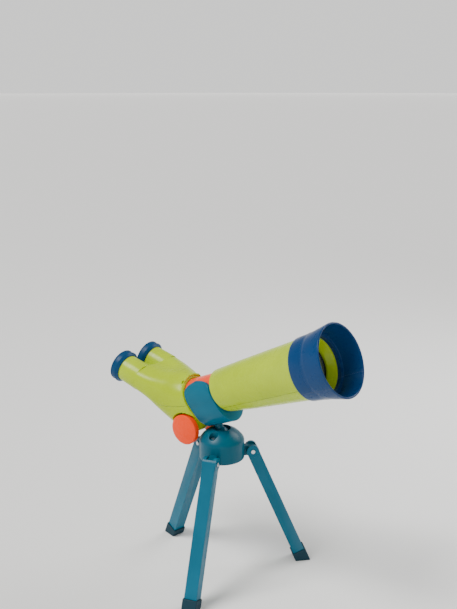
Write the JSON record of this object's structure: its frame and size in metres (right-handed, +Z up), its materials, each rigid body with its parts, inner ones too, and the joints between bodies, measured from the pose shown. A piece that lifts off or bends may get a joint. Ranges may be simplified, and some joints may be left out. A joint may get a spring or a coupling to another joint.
{
  "type": "binocular telescope on tripod",
  "caption": "Chunky toy telescope with two eyepieces in lime, blue and orange plastic, on a ball head with three folding teal legs.",
  "frame": {"origin": "centre of the bounding box on the floor the feet stand on", "axes": "+Z up, +Y the way the telescope looks, +X its right-hand side"},
  "size_m": [0.1942, 0.3166, 0.3348],
  "materials": {
    "lime_plastic": "satin moulded",
    "blue_plastic": "satin moulded",
    "navy_rubber": "soft matte",
    "orange_plastic": "satin moulded",
    "teal_plastic": "satin moulded",
    "dome_plastic": "satin moulded",
    "black_plastic": "satin moulded",
    "black_rubber": "soft matte",
    "steel": "zinc plated",
    "lens_glass": "polished"
  },
  "bodies": {
    "tripod_head": {"head_dome": "dome_plastic", "base_plate": "black_plastic", "spring_washer": "steel", "head_screws": "steel", "leg_screw_right": "steel", "leg_screw_left": "steel", "leg_screw_rear": "steel"},
    "pan_seat": {"ball_seat": "dome_plastic"},
    "focus": {"focus_knob_left": "orange_plastic", "focus_knob_right": "orange_plastic", "focus_shaft": "steel", "focus_pinion": "black_plastic"},
    "draw": {"draw_tube": "black_plastic", "relay_lens": "lens_glass"},
    "leg_right": {"leg_right": "teal_plastic", "foot_right": "black_rubber"},
    "leg_left": {"leg_left": "teal_plastic", "foot_left": "black_rubber"},
    "leg_rear": {"leg_rear": "teal_plastic", "foot_rear": "black_rubber"},
    "telescope": {"barrel_upper_shell": "lime_plastic", "barrel_lower_shell": "lime_plastic", "objective_collar": "blue_plastic", "objective_hood": "blue_plastic", "lens_bezel": "lime_plastic", "lens_cell": "black_plastic", "objective_lens": "lens_glass", "neck_band": "orange_plastic", "saddle": "teal_plastic", "ball_stem": "dome_plastic", "saddle_screw": "steel", "body_upper_shell": "lime_plastic", "body_lower_shell": "lime_plastic", "eye_tube_left": "lime_plastic", "eyecup_left": "navy_rubber", "eyepiece_ring_left": "black_plastic", "eye_lens_left": "lens_glass", "eye_tube_right": "lime_plastic", "eyecup_right": "navy_rubber", "eyepiece_ring_right": "black_plastic", "eye_lens_right": "lens_glass", "bend_prism": "lens_glass", "beam_splitter": "lens_glass", "side_prism_left": "lens_glass", "side_prism_right": "lens_glass", "prism_tray": "black_plastic"}
  },
  "joints": [
    {"name": "pan", "type": "hinge", "parent": "tripod_head", "child": "pan_seat", "pos_m": [-0.01063, -0.01465, 0.17388], "axis": [0, 0, 1], "continuous": true},
    {"name": "tilt", "type": "hinge", "parent": "pan_seat", "child": "telescope", "pos_m": [-0.01063, -0.01465, 0.17388], "axis": [1, 0, 0], "range_deg": [-48, 1.5]},
    {"name": "focus_turn", "type": "hinge", "parent": "telescope", "child": "focus", "pos_m": [-0.01063, -0.05056, 0.1788], "axis": [1, 0, 0], "range_deg": [-70, 70]},
    {"name": "focus_slide", "type": "slide", "parent": "telescope", "child": "draw", "axis": [0, 0.9135, 0.4067], "range_m": [-0.005, 0.005]},
    {"name": "leg_right_fold", "type": "hinge", "parent": "tripod_head", "child": "leg_right", "pos_m": [0.0238, -0.00413, 0.15188], "axis": [-0.2924, 0.9563, 0], "range_deg": [0, 23]},
    {"name": "leg_left_fold", "type": "hinge", "parent": "tripod_head", "child": "leg_left", "pos_m": [-0.03696, 0.0099, 0.15188], "axis": [-0.682, -0.7314, 0], "range_deg": [0, 23]},
    {"name": "leg_rear_fold", "type": "hinge", "parent": "tripod_head", "child": "leg_rear", "pos_m": [-0.01873, -0.04973, 0.15188], "axis": [0.9744, -0.225, 0], "range_deg": [0, 23]}
  ],
  "couplings": [
    {"joint": "focus_slide", "follows": "focus_turn", "m_per_rad": -0.004}
  ]
}
